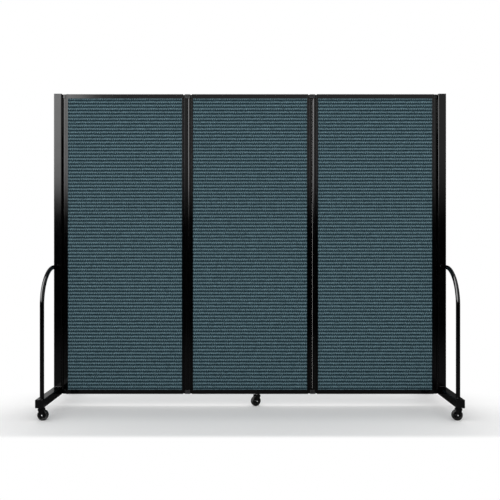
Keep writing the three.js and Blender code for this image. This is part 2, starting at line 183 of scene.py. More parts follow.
# uneven surface: a fine grain, a slow wave and a film of dust that lies on upper sides
def makeSurfaceGroup():
    group = bpy.data.node_groups.new("surfaceVariation", "ShaderNodeTree")
    group.interface.new_socket(name="Place", in_out="INPUT", socket_type="NodeSocketVector")
    for label, value in (("Grain Scale", 900.0), ("Wave Scale", 60.0), ("Dust", 0.5)):
        socket = group.interface.new_socket(name=label, in_out="INPUT", socket_type="NodeSocketFloat")
        socket.default_value = value
    for label in ("Grain", "Wave", "Dust Mask"):
        group.interface.new_socket(name=label, in_out="OUTPUT", socket_type="NodeSocketFloat")
    source, result = group.nodes.new("NodeGroupInput"), group.nodes.new("NodeGroupOutput")
    place = source.outputs["Place"]
    grain = noiseNode(group, place, source.outputs["Grain Scale"], surfaceLook["grainDetail"])
    wave = noiseNode(group, place, source.outputs["Wave Scale"], surfaceLook["waveDetail"])
    facing = axesNode(group, addNode(group, "NewGeometry").outputs["Normal"])
    upperSide, upperShare = surfaceLook["upperSide"], surfaceLook["upperShare"]
    upper = rangeNode(group, facing["Z"], *upperSide, *upperShare, smooth=True)
    patches = fadeIn(group, wave, surfaceLook["dustPatch"])
    dust = product(group, upper, patches, source.outputs["Dust"])
    feedAll(group, result, {"Grain": grain, "Wave": wave, "Dust Mask": dust})
    return group


surfaceVariation = makeSurfaceGroup()


def addSurface(tree, look):
    node = addNode(tree, "Group", node_tree=surfaceVariation)
    feedAll(tree, node, {"Place": placeNode(tree), "Grain Scale": look["grainScale"],
                         "Wave Scale": look["waveScale"], "Dust": look["dust"]})
    return node.outputs


def makeHardFinish(name, look):
    material, tree, shader = startMaterial(name)
    surface = addSurface(tree, look)
    colour = mixColour(tree, surface["Dust Mask"], look["colour"], look["dustColour"])
    rough = rangeNode(tree, surface["Wave"], *surfaceLook["noiseSpan"], *look["roughness"])
    inGloss = addNode(tree, "LightPath").outputs["Is Glossy Ray"]
    full, dimmed = surfaceLook["specular"], surfaceLook["specularInGloss"]
    level = mathNode(tree, "MULTIPLY_ADD", inGloss, dimmed - full, full)
    slow = bumpNode(tree, surface["Wave"], look["waveBump"], look["waveDepth"])
    fine = bumpNode(tree, surface["Grain"], look["grainBump"], look["grainDepth"], slow)
    feedAll(tree, shader, {"Base Color": colour, "Roughness": rough, "IOR": look["ior"],
                           "Specular IOR Level": level, "Normal": fine})
    return material


# gloss powder coat on the frame: deep black, a faint orange peel
paint = {
    "colour": (0.0009, 0.0009, 0.0010), "dustColour": (0.010, 0.010, 0.011), "dust": 0.25,
    "roughness": (0.07, 0.11), "ior": 1.5,
    "grainScale": 700.0, "grainBump": 0.02, "grainDepth": 0.0002,
    "waveScale": 30.0, "waveBump": 0.03, "waveDepth": 0.0004,
}
frameBlack = makeHardFinish("glossBlackFrame", paint)
# the same paint lies a little smoother on steel tube
tubeBlack = makeHardFinish("glossBlackTube", {
    **paint, "roughness": (0.06, 0.10), "grainScale": 600.0, "waveScale": 25.0})
# moulded lids and hinge caps: nearly as glossy as the paint
lid = {
    **paint, "colour": (0.0012, 0.0012, 0.0013), "dustColour": (0.008, 0.008, 0.009), "dust": 0.2,
    "roughness": (0.08, 0.13), "grainScale": 1200.0, "grainBump": 0.03, "grainDepth": 0.00015,
    "waveScale": 80.0,
}
lidBlack = makeHardFinish("mouldedBlackLid", lid)
# the block in the middle of a hinge cap: satin
blockBlack = makeHardFinish("satinBlackBlock", {
    **lid, "colour": (0.007, 0.007, 0.0074), "dustColour": (0.022, 0.022, 0.023), "dust": 0.3,
    "roughness": (0.40, 0.50), "ior": 1.48, "grainScale": 1400.0, "grainBump": 0.15, "waveBump": 0.04})
# wheel centres: half matt, with dust on their upper sides
wheelBlack = makeHardFinish("mouldedBlackWheel", {
    **lid, "colour": (0.0032, 0.0032, 0.0035), "dustColour": (0.018, 0.017, 0.017), "dust": 0.4,
    "roughness": (0.22, 0.34), "grainBump": 0.12, "waveScale": 120.0, "waveBump": 0.04})
# rubber: matt, grainy and dusty from the floor
tyreBlack = makeHardFinish("blackTyreRubber", {
    **paint, "colour": (0.0042, 0.0042, 0.0042), "dustColour": (0.026, 0.025, 0.024), "dust": 0.5,
    "roughness": (0.42, 0.6), "grainScale": 1600.0, "grainBump": 0.25,
    "waveScale": 150.0, "waveBump": 0.08, "waveDepth": 0.0005})

# axle rivet: a painted highlight, a near-white matt disc in the middle, on a dark metallic head
rivet = {
    "paintedHighlight": (0.86, 0.87, 0.89),
    "dark": (0.035, 0.035, 0.037),
    "dustColour": (0.09, 0.088, 0.085),
    "dust": 0.3,
    "middle": 0.0023,            # radius of the painted highlight in the middle, and how far its edge is ragged and soft
    "ragged": 0.0004,
    "soft": 0.0005,
    "roughness": (0.52, 0.30),   # in the middle and outside it
    "unevenness": 0.08,
    "metallic": (0.12, 1.0),
    "grainScale": 1500.0,
    "grainBump": 0.2,
    "grainDepth": 0.0002,
    "waveScale": 220.0,
}


def makeRivetFinish():
    material, tree, shader = startMaterial("axleWithPaintedHighlight")
    surface = addSurface(tree, rivet)
    axes = axesNode(tree, placeNode(tree))
    square = product(tree, axes["X"], axes["X"])
    radius = mathNode(tree, "SQRT", mathNode(tree, "MULTIPLY_ADD", axes["Z"], axes["Z"], square))
    edge = mathNode(tree, "MULTIPLY_ADD", surface["Grain"], rivet["ragged"], radius)
    outside = fadeIn(tree, edge, (rivet["middle"], rivet["middle"] + rivet["soft"]))
    worn = mixColour(tree, surface["Dust Mask"], rivet["dark"], rivet["dustColour"])
    metallic = rangeNode(tree, outside, 0.0, 1.0, *rivet["metallic"])
    rough = rangeNode(tree, outside, 0.0, 1.0, *rivet["roughness"])
    rough = mathNode(tree, "MULTIPLY_ADD", surface["Wave"], rivet["unevenness"], rough)
    grain = bumpNode(tree, surface["Grain"], rivet["grainBump"], rivet["grainDepth"])
    # painted highlight: inside the middle radius the base colour is near-white and matt
    feedAll(tree, shader, {"Base Color": mixColour(tree, outside, rivet["paintedHighlight"], worn),
                           "Metallic": metallic, "Roughness": rough, "Normal": grain})
    return material


axleSteel = makeRivetFinish()


# ribbed slate cloth: painted shade in each rib's furrow and painted light on its band, nubby flecked yarn, a
# fine weave
cloth = {
    "ribCount": 87,
    "ribDepth": 0.0008,
    "ribSwell": 0.45,                # lower is fuller
    "ribSteps": 8,
    "slices": 26,
    "thickness": 0.016,
    "rimInset": 0.0004,
    "wander": 0.0001,                # how far the yarn strays in and out, and its scale along and across
    "wanderScale": (38, 210),
    "ribShift": 0.315,               # share of a rib that lies under the first whole one
    # the band's colour is painted light and the furrow's colour is painted shade
    "light": (0.090, 0.148, 0.172),
    "middle": (0.0395, 0.0745, 0.0895),
    "dark": (0.0085, 0.0240, 0.0318),
    "paintedLightBand": (0.16, 0.62),       # where in a rib the painted light band starts and ends
    "bandRise": (-0.05, 0.10),       # how softly it does so, in shares of a rib
    "bandFall": (-0.10, 0.22),
    "ragged": 0.0014,                # how far the band's edges wander, in metres
    "frayScale": 300.0,
    "frayStretch": (1.0, 1.0, 0.25),
    "fraySpan": (0.25, 0.75),
    "nubs": ((0.01046, 0.7, 1.0), (0.0122, 0.5, 1.7)),   # pitch, share and lag along each rib
    "nubShift": 0.0018,              # how far they move the band, and what they do to its tone
    "nubGain": (0.74, 1.26),
    "fleckScale": 560.0,
    "fleckDetail": 1.0,
    "fleckGain": (0.15, 1.95),
    "weavePitch": 0.0011,
    "weaveGain": (0.86, 1.12),
    "patchScale": 7.0,
    "patchGain": (0.985, 1.015),
    "roughness": 0.92,
    "specular": 0.15,
    "weaveBump": (0.35, 0.0003),     # strength, and depth in metres
    "fleckBump": (0.4, 0.0008),
}
clothBottom = panelBottom + screen["railHeight"]
clothHeight = panelHeight - 2 * screen["railHeight"]
ribPitch = clothHeight / cloth["ribCount"]


# waves along the ribs, which start somewhere else in each half rib
def addNubs(tree, axes):
    height = mathNode(tree, "SUBTRACT", axes["Z"], clothBottom)
    halfRib = mathNode(tree, "FLOOR", mathNode(tree, "DIVIDE", height, ribPitch / 2))
    begin = addNode(tree, "TexWhiteNoise", noise_dimensions="1D")
    feed(tree, begin.inputs["W"], halfRib)
    nub = 0.0
    for pitch, share, lag in cloth["nubs"]:
        along = product(tree, axes["X"], 2 * math.pi / pitch)
        along = mathNode(tree, "MULTIPLY_ADD", begin.outputs["Value"], 2 * math.pi * lag, along)
        nub = mathNode(tree, "MULTIPLY_ADD", mathNode(tree, "SINE", along), share, nub)
    return nub


# painted shade in the furrow, painted light on the band, with the middle colour between them
def addPaintedRibShading(tree, axes, shift):
    height = mathNode(tree, "SUBTRACT", mathNode(tree, "ADD", axes["Z"], shift), clothBottom)
    ribs = mathNode(tree, "ADD", mathNode(tree, "DIVIDE", height, ribPitch), cloth["ribShift"])
    phase = mathNode(tree, "FRACT", ribs)
    start, end = cloth["paintedLightBand"]
    rise = fadeIn(tree, phase, [start + soft for soft in cloth["bandRise"]])
    fall = fadeOut(tree, phase, [end + soft for soft in cloth["bandFall"]])
    band = product(tree, rise, fall)
    low = mixColour(tree, rangeNode(tree, band, 0.0, 0.5, 0.0, 1.0), cloth["dark"], cloth["middle"])
    return mixColour(tree, rangeNode(tree, band, 0.5, 1.0, 0.0, 1.0), low, cloth["light"])


def makeCloth():
    material, tree, shader = startMaterial("slateRibCloth")
    place = placeNode(tree)
    axes = axesNode(tree, place)
    flecks = noiseNode(tree, place, cloth["fleckScale"], cloth["fleckDetail"])
    drawn = addNode(tree, "VectorMath", operation="MULTIPLY")
    feed(tree, drawn.inputs[0], place)
    feed(tree, drawn.inputs[1], cloth["frayStretch"])
    frayed = noiseNode(tree, drawn.outputs["Vector"], cloth["frayScale"])
    nub = addNubs(tree, axes)
    shift = rangeNode(tree, frayed, *cloth["fraySpan"], -cloth["ragged"], cloth["ragged"])
    shift = mathNode(tree, "MULTIPLY_ADD", nub, cloth["nubShift"], shift)
    # warp and weft, one thread over the other
    turn = 2 * math.pi / cloth["weavePitch"]
    warp = mathNode(tree, "SINE", product(tree, axes["X"], turn))
    weft = mathNode(tree, "SINE", product(tree, axes["Z"], turn))
    weave = product(tree, warp, weft)
    patches = noiseNode(tree, place, cloth["patchScale"])
    gain = product(tree, rangeNode(tree, flecks, *surfaceLook["noiseSpan"], *cloth["fleckGain"]),
                   rangeNode(tree, weave, -1.0, 1.0, *cloth["weaveGain"]),
                   rangeNode(tree, patches, *surfaceLook["noiseSpan"], *cloth["patchGain"]),
                   rangeNode(tree, nub, -1.0, 1.0, *cloth["nubGain"]))
    scaled = addNode(tree, "VectorMath", operation="SCALE")
    feed(tree, scaled.inputs[0], addPaintedRibShading(tree, axes, shift))
    feed(tree, scaled.inputs["Scale"], gain)
    thread = bumpNode(tree, weave, *cloth["weaveBump"])
    feedAll(tree, shader, {"Base Color": scaled.outputs["Vector"], "Roughness": cloth["roughness"],
                           "Specular IOR Level": cloth["specular"],
                           "Normal": bumpNode(tree, flecks, *cloth["fleckBump"], thread)})
    return material


slateCloth = makeCloth()
print("finishes made")


def arcPoints(x, y, radius, start, end, steps):
    points = []
    for i in range(steps + 1):
        angle = start + (end - start) * i / steps
        points.append((x + radius * math.cos(angle), y + radius * math.sin(angle)))
    return points


def roundAngles(count):
    return [2 * math.pi * i / count for i in range(count)]


# goes on with the same points on the other side of the first axis
def mirrored(points):
    return points + [(a, -b) for a, b in reversed(points)]


def roundedOutline(width, depth, radius, steps=6):
    x, y, quarter = width / 2 - radius, depth / 2 - radius, math.pi / 2
    points = []
    for i, (sx, sy) in enumerate(((1, 1), (-1, 1), (-1, -1), (1, -1))):
        points += arcPoints(sx * x, sy * y, radius, i * quarter, (i + 1) * quarter, steps)
    return points


# stands an outline up as a bar, in the mesh being built
def addBar(mesh, outline, low, high, turn=Matrix.Identity(4)):
    lower = [mesh.verts.new(turn @ Vector((x, y, low))) for x, y in outline]
    upper = [mesh.verts.new(turn @ Vector((x, y, high))) for x, y in outline]
    mesh.faces.new(list(reversed(lower)))
    mesh.faces.new(upper)
    for i in range(len(outline)):
        j = (i + 1) % len(outline)
        mesh.faces.new((lower[i], lower[j], upper[j], upper[i]))


# joins rings that each have the same number of points, with flat ends unless it runs round
def addRings(mesh, rings, closed=False):
    loops = [[mesh.verts.new(point) for point in ring] for ring in rings]
    count = len(loops[0])
    last = len(loops) if closed else len(loops) - 1
    for i in range(last):
        one, two = loops[i], loops[(i + 1) % len(loops)]
        for k in range(count):
            n = (k + 1) % count
            mesh.faces.new((one[k], one[n], two[n], two[k]))
    if not closed:
        mesh.faces.new(list(reversed(loops[0])))
        mesh.faces.new(loops[-1])


# the same for outlines that lie at the given heights
def addLevels(mesh, levels):
    addRings(mesh, [[Vector((x, y, z)) for x, y in outline] for outline, z in levels])


# a rounded bar whose top is drawn in, given as pairs of inset and height
def addCrowned(mesh, width, depth, corner, levels, steps=6, middle=0.0):
    outlines = []
    for inset, z in levels:
        rounding = max(corner - inset, corner / 5)
        outline = roundedOutline(width - 2 * inset, depth - 2 * inset, rounding, steps)
        outlines.append(([(x + middle, y) for x, y in outline], z))
    addLevels(mesh, outlines)


# turns a profile of (radius, height) pairs about Z; a closed profile has a bore
def addTurned(mesh, profile, sides, turn=Matrix.Identity(4), closed=False):
    rings = [[turn @ Vector((r * math.cos(angle), r * math.sin(angle), z)) for r, z in profile]
             for angle in roundAngles(sides)]
    if closed:
        addRings(mesh, rings, closed=True)
        return
    loops = []
    poles = {}
    for ring in rings:
        loop = []
        for k, ((r, z), point) in enumerate(zip(profile, ring)):
            if r == 0:
                if k not in poles:
                    poles[k] = mesh.verts.new(point)
                loop.append(poles[k])
            else:
                loop.append(mesh.verts.new(point))
        loops.append(loop)
    for i in range(sides):
        one, two = loops[i], loops[(i + 1) % sides]
        for k in range(len(profile) - 1):
            corners = [one[k], two[k], two[k + 1], one[k + 1]]
            kept = [c for n, c in enumerate(corners) if c not in corners[:n]]
            mesh.faces.new(kept)


def addTube(mesh, path, radius, sides):
    rings = []
    side = Vector((1, 0, 0))          # every bend here lies in a plane across X
    for i, point in enumerate(path):
        before, after = path[max(i - 1, 0)], path[min(i + 1, len(path) - 1)]
        up = (after - before).normalized().cross(side).normalized()
        rings.append([point + radius * (math.cos(a) * side + math.sin(a) * up) for a in roundAngles(sides)])
    addRings(mesh, rings)


def addObject(name, data):
    thing = bpy.data.objects.new(name, data)
    bpy.context.scene.collection.objects.link(thing)
    return thing


# how every piece is shaded and how its bevels are cut
edges = {
    "sharpAngle": 32,
    "bevelAngle": 40,
    "bevelSegments": 2,
    "faceWeight": 100,
}


def makeMesh(name, build, material, sharpAngle=edges["sharpAngle"]):
    shape = bmesh.new()
    build(shape)
    bmesh.ops.recalc_face_normals(shape, faces=shape.faces)
    mesh = bpy.data.meshes.new(name)
    shape.to_mesh(mesh)
    shape.free()
    mesh.shade_smooth()
    mesh.set_sharp_from_angle(angle=math.radians(sharpAngle))
    mesh.materials.append(material)
    return mesh


def addPiece(node, mesh, body, place, bevel=0.0, flatSides=True, suffix="finish", replaced=True):
    piece = addObject(node + "_" + suffix, mesh)
    piece.matrix_world = place
    if bevel:
        edge = piece.modifiers.new("edge", "BEVEL")
        edge.width = bevel
        edge.segments = edges["bevelSegments"]
        edge.limit_method = "ANGLE"
        edge.angle_limit = math.radians(edges["bevelAngle"])
    if flatSides:
        # broad faces keep their own direction, so that the gloss on them stays straight
        normals = piece.modifiers.new("normals", "WEIGHTED_NORMAL")
        normals.keep_sharp = True
        normals.weight = edges["faceWeight"]
    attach(piece, body)
    if replaced:
        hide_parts(node)
    return piece


def move(x, y, z):
    return Matrix.Translation((x, y, z))


def turnZ(angle):
    return Matrix.Rotation(angle, 4, "Z")


flipX = Matrix.Rotation(math.pi, 4, "X")
tipX = Matrix.Rotation(math.pi / 2, 4, "X")
alongX = turnZ(math.pi / 2) @ tipX


stile = {
    "barrelRadius": 0.00775,   # flat in front and behind, well rounded on the pivot's far side
    "barrelFlat": 0.0065,
    "barrelNose": 0.0055,
    "barrelEdge": 0.0022,
    "barrelEnd": 0.02075,
    "neckWidth": 0.006,
    "boreRadius": 0.0031,
    "boreDepth": 0.026,
    "corner": 0.0004,
    "notchWidth": 0.003,
    "notchHeight": 0.003,
    "railCorner": 0.0015,
    "tongueGap": 0.0002,
    "bevel": 0.00015,
}


# the channel's outline with the given points towards the pivot
def channelOutline(outer):
    inner, half = screen["channelOffset"] + screen["channelWidth"], screen["frameDepth"] / 2
    floor, groove = inner - grooveDepth, screen["grooveWidth"] / 2
    grooved = [(inner, -groove), (floor, -groove), (floor, groove), (inner, groove)]
    return [(inner, half)] + outer + [(inner, -half)] + grooved


def addChannel(mesh, notched):
    near, half, corner = screen["channelOffset"], screen["frameDepth"] / 2, stile["corner"]
    outer = mirrored(arcPoints(near + corner, half - corner, corner, math.pi / 2, math.pi, 4))
    full = channelOutline(outer)
    last, back, notch = len(outer) - 1, near + stile["notchWidth"], stile["notchHeight"]
    cut = channelOutline([(back, half * (1 - 2 * i / last)) for i in range(len(outer))])
    if notched:
        addLevels(mesh, [(cut, 0), (cut, notch), (full, notch), (full, panelHeight - notch),
                         (cut, panelHeight - notch), (cut, panelHeight)])
    else:
        addLevels(mesh, [(full, 0), (full, panelHeight)])


# the barrel on its neck, with a bore for a pin at both ends
def addBarrel(mesh):
    radius, flat = stile["barrelRadius"], stile["barrelFlat"]
    edge, nose = stile["barrelEdge"], stile["barrelNose"]
    neck = stile["neckWidth"] / 2
    web = screen["channelOffset"] + (screen["channelWidth"] - grooveDepth) / 2
    outline = [(web, neck), (radius, neck)]
    outline += arcPoints(radius - edge, flat - edge, edge, 0, math.pi / 2, 6)
    outline += arcPoints(nose - radius, flat - nose, nose, math.pi / 2, math.pi, 14)
    outline = mirrored(outline)
    around = [math.atan2(y, x) for x, y in outline]
    bore = [(stile["boreRadius"] * math.cos(a), stile["boreRadius"] * math.sin(a)) for a in around]
    low, high = stile["barrelEnd"], panelHeight - stile["barrelEnd"]
    addLevels(mesh, [(bore, low + stile["boreDepth"]), (bore, low), (outline, low),
                     (outline, high), (bore, high), (bore, high - stile["boreDepth"])])


def buildStile(mesh):
    addChannel(mesh, notched=False)
    addBarrel(mesh)


# beside a fold the channel's outer corners are notched
def buildFoldStile(mesh):
    addChannel(mesh, notched=True)
    addBarrel(mesh)


def buildRail(mesh):
    half, corner = screen["frameDepth"] / 2, stile["railCorner"]
    top, grooveHalf = screen["railHeight"], screen["grooveWidth"] / 2
    low = top - grooveDepth
    length = panelPitch - 2 * frameSide - 2 * seatGap
    outline = [(half, top), (grooveHalf, top), (grooveHalf, low)]
    outline += [(-grooveHalf, low), (-grooveHalf, top), (-half, top)]
    outline += arcPoints(corner - half, corner, corner, math.pi, 1.5 * math.pi, 6)
    outline += arcPoints(half - corner, corner, corner, 1.5 * math.pi, 2 * math.pi, 6)
    addBar(mesh, outline, -length / 2, length / 2, alongX)
    tongue = length / 2 + grooveDepth
    key, gap = cloth["thickness"] / 2, stile["tongueGap"]
    addBar(mesh, [(-key, gap), (key, gap), (key, low - gap), (-key, low - gap)], -tongue, tongue, alongX)


# one rib from its furrow up: the band swells out, then falls back into the next furrow
def ribDepthAt(phase):
    return cloth["ribDepth"] * (1 - math.sin(math.pi * phase) ** cloth["ribSwell"])


def buildBoard(mesh):
    overlap = grooveDepth - seatGap
    crest = cloth["thickness"] / 2
    steps, slices = cloth["ribSteps"], cloth["slices"]
    alongScale, acrossScale = cloth["wanderScale"]
    width = panelPitch - 2 * frameSide + 2 * overlap
    face = [(crest - cloth["rimInset"], -overlap)]
    for k in range((cloth["ribCount"] + 1) * steps):
        height = (k / steps - cloth["ribShift"]) * ribPitch
        if 0 < height < clothHeight:
            face.append((crest - ribDepthAt(k % steps / steps), height))
    face.append((crest - cloth["rimInset"], clothHeight + overlap))
    back = [(-y, z) for y, z in reversed(face)]
    rings = []
    for s in range(slices + 1):
        x = width * (s / slices - 0.5)
        ring = []
        for y, z in face + back:
            # the yarn wanders a little along each rib, but its crests stay level
            if abs(y) < crest - 0.00001:
                seed = 3.0 if y > 0 else 9.0
                wander = cloth["wander"] * noise.noise(Vector((x * alongScale, z * acrossScale, seed)))
                y += math.copysign(wander, y)
            ring.append(Vector((x, y, z)))
        rings.append(ring)
    addRings(mesh, rings)


endStileMesh = makeMesh("endStileShape", buildStile, frameBlack)
foldStileMesh = makeMesh("foldStileShape", buildFoldStile, frameBlack)
railMesh = makeMesh("railShape", buildRail, frameBlack)
boardMesh = makeMesh("boardShape", buildBoard, slateCloth, sharpAngle=70)

for side, centreX in (("left", -panelPitch), ("centre", 0.0), ("right", panelPitch)):
    body = side + "_panel"
    stileX = panelPitch / 2 - pivotOffset
    base = move(centreX, 0, panelBottom)
    top = move(centreX, 0, screen["height"]) @ flipX
    leftMesh = endStileMesh if side == "left" else foldStileMesh
    rightMesh = endStileMesh if side == "right" else foldStileMesh
    for part, mesh, place in (("_left_stile", leftMesh, base @ move(-stileX, 0, 0)),
                              ("_right_stile", rightMesh, base @ move(stileX, 0, 0) @ turnZ(math.pi)),
                              ("_bottom_rail", railMesh, base), ("_top_rail", railMesh, top)):
        addPiece(body + part, mesh, body, place, bevel=stile["bevel"])
    board = addPiece(body + "_fabric_board", boardMesh, body, move(centreX, 0, clothBottom),
                     flatSides=False)
print("panels built")


hinge = {
    "spineDepth": 0.010,
    "slitWidth": 0.0003,
    "slitEnd": 0.003,
    "slitSlant": 0.102,        # sideways for each step from front to back
    "capStep": 0.0012,
    "capNose": 0.006,
    "capFlat": 0.0063,
    "capEdge": 0.0013,
    "capBevel": 0.0001,
    "webReach": 0.0082,
    "webWidth": 0.004,
    "blockLength": 0.0246,
    "blockDepth": 0.015,
    "blockEdge": 0.0005,
    "blockCrown": ((0, 0.5), (0.15, 0.22), (0.25, 0.1), (0.5, 0)),   # inset and drop, in edges
    "bracketHeight": 0.0195,
    "bracketReach": 0.0082,
    "bracketBevel": 0.0003,
    "pinRadius": 0.0028,
    "pinLength": 0.025,
    "pinPoint": 0.001,
    "pinRoot": 0.002,
}


def stripOutline(start, end, width):
    return [(start, -width / 2), (end, -width / 2), (end, width / 2), (start, width / 2)]


def addPin(mesh, x):
    radius, length, root = hinge["pinRadius"], hinge["pinLength"], hinge["pinRoot"]
    point = hinge["pinPoint"]
    profile = [(0, -length), (radius - point, -length), (radius, point - length), (radius, root), (0, root)]
    addTurned(mesh, profile, 20, move(x, 0, 0))


# hollowed to follow both barrels, with a slanting slit short of both ends
def buildSpine(mesh):
    radius = screen["channelOffset"]
    reach = math.asin(hinge["spineDepth"] / 2 / radius)
    right = arcPoints(pivotOffset, 0, radius, math.pi + reach, math.pi - reach, 20)
    left = arcPoints(-pivotOffset, 0, radius, reach, -reach, 20)
    y = hinge["spineDepth"] / 2
    half, slant = hinge["slitWidth"] / 2, hinge["slitSlant"] * y
    end = capHeight + seatGap
    low, high = end + hinge["slitEnd"], panelHeight - end - hinge["slitEnd"]
    addBar(mesh, right + left, end, low)
    addBar(mesh, right + left, high, panelHeight - end)
    addBar(mesh, right + [(slant + half, y), (half - slant, -y)], low, high)
    addBar(mesh, left + [(-slant - half, -y), (slant - half, y)], low, high)


# body over both pivots with a thinner web past each, and the pins
def buildCapBody(mesh):
    step = hinge["capStep"]
    length = 2 * (pivotOffset + hinge["capNose"])
    addBar(mesh, roundedOutline(length, 2 * hinge["capFlat"], hinge["capEdge"]), 0, capHeight - step)
    far = pivotOffset + hinge["webReach"]
    addBar(mesh, stripOutline(-far, far, hinge["webWidth"]), 0, capHeight - 2 * step)
    addPin(mesh, pivotOffset)
    addPin(mesh, -pivotOffset)


def buildCapBlock(mesh):
    edge = hinge["blockEdge"]
    crown = [(inset * edge, capHeight - drop * edge) for inset, drop in hinge["blockCrown"]]
    addCrowned(mesh, hinge["blockLength"], hinge["blockDepth"], edge, [(0, 0)] + crown, steps=4)


def buildBracket(mesh):
    nose, reach, height = hinge["capNose"], hinge["bracketReach"], hinge["bracketHeight"]
    body = roundedOutline(nose + reach, 2 * hinge["capFlat"], hinge["capEdge"])
    toPost = screen["postGap"] - seatGap
    addBar(mesh, body, 0, height, move((reach - nose) / 2, 0, 0))
    addBar(mesh, stripOutline(-hinge["webReach"], 0, hinge["webWidth"]), 0, height - hinge["capStep"])
    addBar(mesh, stripOutline(0, toPost, stile["neckWidth"]), 0, height - hinge["capStep"])
    addPin(mesh, 0)


spineMesh = makeMesh("spineShape", buildSpine, frameBlack)
capBodyMesh = makeMesh("hingeCapBodyShape", buildCapBody, lidBlack)
capBlockMesh = makeMesh("hingeCapBlockShape", buildCapBlock, blockBlack)
bracketMesh = makeMesh("bracketShape", buildBracket, tubeBlack)

for side, sign in (("left", -1), ("right", 1)):
    body = side + "_hinge"
    foldX = sign * panelPitch / 2
    addPiece(body + "_spine", spineMesh, body, move(foldX, 0, panelBottom))
    top = move(foldX, 0, screen["height"] - capHeight)
    bottom = move(foldX, 0, panelBottom + capHeight) @ flipX
    for cap, place in (("_top_cap", top), ("_bottom_cap", bottom)):
        addPiece(body + cap, capBodyMesh, body, place, bevel=hinge["capBevel"])
        addPiece(body + cap, capBlockMesh, body, place, suffix="block")
print("folds built")


endFrame = {
    "footLength": 0.5588,
    "lidThickness": 0.003,
    "lidEdge": 0.0005,
    "lidCrown": ((0, 1), (0.12, 0.5), (0.5, 0.12), (1, 0), (8, 0)),   # inset and drop, in edges
    "plugInset": 0.002,
    "plugLength": 0.006,
    "hoopRadius": 0.009525,
    "hoopBend": 0.168,
    "hoopHeight": 0.680,
    "hoopReach": 0.244,
    "casterReach": 0.260,
    "weldRadius": 0.0014,
    "hoopWeldRadius": 0.0006,
    "weldSides": 8,
    "weldRipple": 0.12,        # share of the radius
    "rippleLength": 0.0011,    # metres for each radian round a hoop
    "rippleTurn": 1.3,         # radians for each step across the foot
}
tubeOutline = roundedOutline(tubeSide, tubeSide, screen["tubeCorner"])


def buildPost(mesh):
    top = screen["height"] - endFrame["lidThickness"] - seatGap
    addBar(mesh, tubeOutline, footTop + seatGap, top)


def buildFoot(mesh):
    length = endFrame["footLength"] - 2 * endFrame["lidThickness"] - 2 * seatGap
    addBar(mesh, tubeOutline, -length / 2, length / 2, move(0, 0, tubeSide / 2) @ tipX)


# its upper face lies at height 0, with the plug below
def buildLid(mesh):
    edge, thickness = endFrame["lidEdge"], endFrame["lidThickness"]
    crown = [(inset * edge, -drop * edge) for inset, drop in endFrame["lidCrown"]]
    addCrowned(mesh, tubeSide, tubeSide, screen["tubeCorner"], [(0, -thickness)] + crown)
    plug = tubeSide - 2 * endFrame["plugInset"]
    outline = roundedOutline(plug, plug, screen["tubeCorner"])
    addBar(mesh, outline, -thickness - endFrame["plugLength"], -thickness / 2)


# forwards from the post, round the bend and down to the foot
def buildHoop(mesh):
    bend, reach, height = endFrame["hoopBend"], endFrame["hoopReach"], endFrame["hoopHeight"]
    path = [(-tubeSide / 2 - seatGap, height)]
    path += arcPoints(bend - reach, height - bend, bend, math.pi / 2, math.pi, 32)
    path.append((-reach, footTop + seatGap))
    addTube(mesh, [Vector((0, y, z)) for y, z in path], endFrame["hoopRadius"], 40)


# the weld's radius with small ripples where the metal was laid down
def weldSize(radius, phase):
    return radius * (1 + endFrame["weldRipple"] * math.sin(phase))


# a thin bead round the end of a hoop
def addRoundWeld(mesh, place):
    radius, steps = endFrame["hoopRadius"], 96
    step = 2 * radius * math.sin(math.pi / steps)
    rings = []
    for i, angle in enumerate(roundAngles(steps)):
        size = weldSize(endFrame["hoopWeldRadius"], (i + 1) * step / endFrame["rippleLength"])
        outward = Vector((math.cos(angle), math.sin(angle), 0))
        rings.append([place @ ((radius + size * math.cos(a)) * outward + Vector((0, 0, size * math.sin(a))))
                      for a in roundAngles(endFrame["weldSides"])])
    addRings(mesh, rings, closed=True)


# beads across the foot before and behind the post, and round both ends of each hoop
def buildWelds(mesh):
    steps = 60
    for sign in (-1, 1):
        rings = []
        for i in range(steps + 1):
            x = (i / steps - 0.5) * (tubeSide - 2 * screen["tubeCorner"])
            size = weldSize(endFrame["weldRadius"], i * endFrame["rippleTurn"])
            rings.append([Vector((x, sign * tubeSide / 2 + size * math.cos(a), footTop + size * math.sin(a)))
                          for a in roundAngles(endFrame["weldSides"])])
        addRings(mesh, rings)
        addRoundWeld(mesh, move(0, sign * endFrame["hoopReach"], footTop))
        addRoundWeld(mesh, move(0, sign * tubeSide / 2, endFrame["hoopHeight"]) @ tipX)


postMesh = makeMesh("postShape", buildPost, tubeBlack)
footMesh = makeMesh("footShape", buildFoot, tubeBlack)
lidMesh = makeMesh("tubeLidShape", buildLid, lidBlack)
hoopMesh = makeMesh("hoopShape", buildHoop, tubeBlack)
weldMesh = makeMesh("weldShape", buildWelds, tubeBlack, sharpAngle=60)

